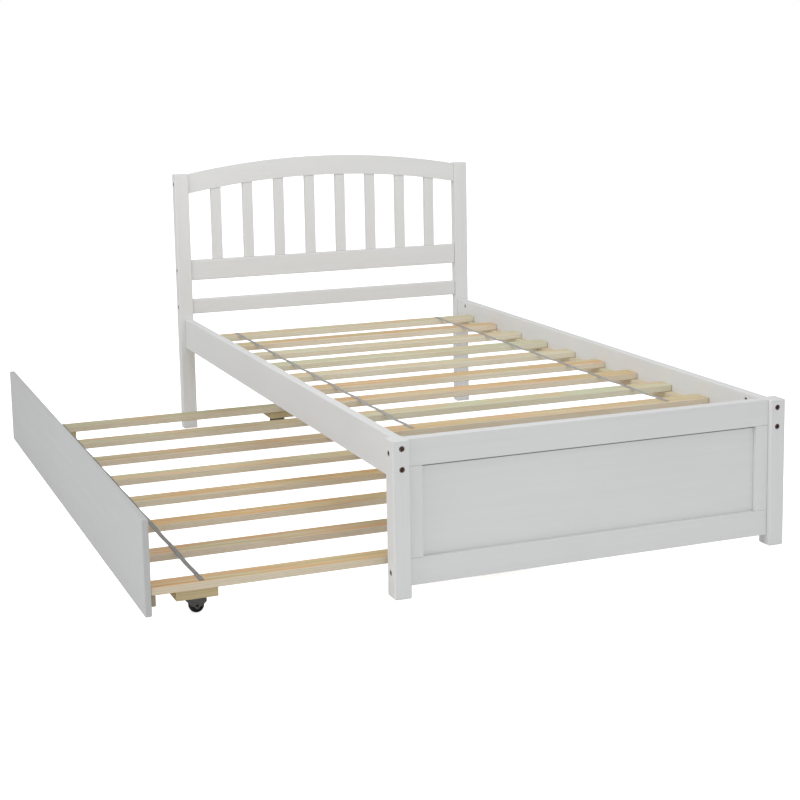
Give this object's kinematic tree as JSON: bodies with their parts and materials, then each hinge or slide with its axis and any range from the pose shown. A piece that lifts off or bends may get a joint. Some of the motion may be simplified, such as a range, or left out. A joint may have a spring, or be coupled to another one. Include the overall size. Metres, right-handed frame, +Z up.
{
  "type": "trundle bed",
  "caption": "Twin platform bed with an arched spindle headboard, panelled footboard and slatted base, and a low slatted trundle that rolls out from under it.",
  "frame": {"origin": "floor level, in the middle of the footprint of the bed with its trundle rolled out as drawn", "axes": "+Z up, +Y from the foot end to the headboard, the trundle rolls out towards -X"},
  "size_m": [1.632, 2.02, 0.907],
  "materials": {
    "painted_wood": "satin white paint over solid wood",
    "natural_pine": "bare sanded pine",
    "strap_webbing": "woven polyester webbing",
    "caster_plastic": "moulded dark grey housing",
    "wheel_tread": "black moulded wheel",
    "bolt_bronze": "dark bronze plated fastener",
    "screw_steel": "zinc plated screw or staple"
  },
  "bodies": {
    "bed": {"head_post_left": "painted_wood", "head_post_right": "painted_wood", "arched_top_rail": "painted_wood", "head_middle_rail": "painted_wood", "head_lower_rail": "painted_wood", "spindle_1": "painted_wood", "spindle_2": "painted_wood", "spindle_3": "painted_wood", "spindle_4": "painted_wood", "spindle_5": "painted_wood", "spindle_6": "painted_wood", "spindle_7": "painted_wood", "spindle_8": "painted_wood", "foot_post_left": "painted_wood", "foot_post_right": "painted_wood", "foot_stile_left": "painted_wood", "foot_stile_right": "painted_wood", "foot_top_rail": "painted_wood", "foot_bottom_rail": "painted_wood", "foot_panel": "painted_wood", "side_rail_left": "painted_wood", "side_rail_right": "painted_wood", "slat_cleat_left": "natural_pine", "slat_cleat_right": "natural_pine", "bed_slat_1": "natural_pine", "bed_slat_2": "natural_pine", "bed_slat_3": "natural_pine", "bed_slat_4": "natural_pine", "bed_slat_5": "natural_pine", "bed_slat_6": "natural_pine", "bed_slat_7": "natural_pine", "bed_slat_8": "natural_pine", "bed_slat_9": "natural_pine", "bed_strap_left": "strap_webbing", "bed_strap_right": "strap_webbing"},
    "trundle": {"trundle_front_panel": "painted_wood", "trundle_ledger": "natural_pine", "trundle_rear_rail": "natural_pine", "trundle_slat_1": "natural_pine", "trundle_slat_2": "natural_pine", "trundle_slat_3": "natural_pine", "trundle_slat_4": "natural_pine", "trundle_slat_5": "natural_pine", "trundle_slat_6": "natural_pine", "trundle_slat_7": "natural_pine", "trundle_slat_8": "natural_pine", "caster_block_foot_left": "natural_pine", "caster_block_foot_right": "natural_pine", "caster_block_head_left": "natural_pine", "caster_block_head_right": "natural_pine", "trundle_strap_left": "strap_webbing", "trundle_strap_right": "strap_webbing", "caster_housing_foot_left": "caster_plastic", "caster_housing_foot_right": "caster_plastic", "caster_housing_head_left": "caster_plastic", "caster_housing_head_right": "caster_plastic"},
    "wheel_foot_left": {"caster_wheel_foot_left": "wheel_tread"},
    "wheel_foot_right": {"caster_wheel_foot_right": "wheel_tread"},
    "wheel_head_left": {"caster_wheel_head_left": "wheel_tread"},
    "wheel_head_right": {"caster_wheel_head_right": "wheel_tread"}
  },
  "joints": [
    {"name": "trundle_slide", "type": "slide", "parent": "bed", "child": "trundle", "axis": [-1, 0, 0], "range_m": [-0.59, 0.42]},
    {"name": "wheel_spin_foot_left", "type": "hinge", "parent": "trundle", "child": "wheel_foot_left", "pos_m": [-0.684, -0.889, 0.018], "axis": [0, 1, 0], "continuous": true},
    {"name": "wheel_spin_foot_right", "type": "hinge", "parent": "trundle", "child": "wheel_foot_right", "pos_m": [0.042, -0.889, 0.018], "axis": [0, 1, 0], "continuous": true},
    {"name": "wheel_spin_head_left", "type": "hinge", "parent": "trundle", "child": "wheel_head_left", "pos_m": [-0.684, 0.8295, 0.018], "axis": [0, 1, 0], "continuous": true},
    {"name": "wheel_spin_head_right", "type": "hinge", "parent": "trundle", "child": "wheel_head_right", "pos_m": [0.042, 0.8295, 0.018], "axis": [0, 1, 0], "continuous": true}
  ],
  "couplings": [
    {"joint": "wheel_spin_foot_left", "follows": "trundle_slide", "rad_per_m": -55.556},
    {"joint": "wheel_spin_foot_right", "follows": "trundle_slide", "rad_per_m": -55.556},
    {"joint": "wheel_spin_head_left", "follows": "trundle_slide", "rad_per_m": -55.556},
    {"joint": "wheel_spin_head_right", "follows": "trundle_slide", "rad_per_m": -55.556}
  ]
}
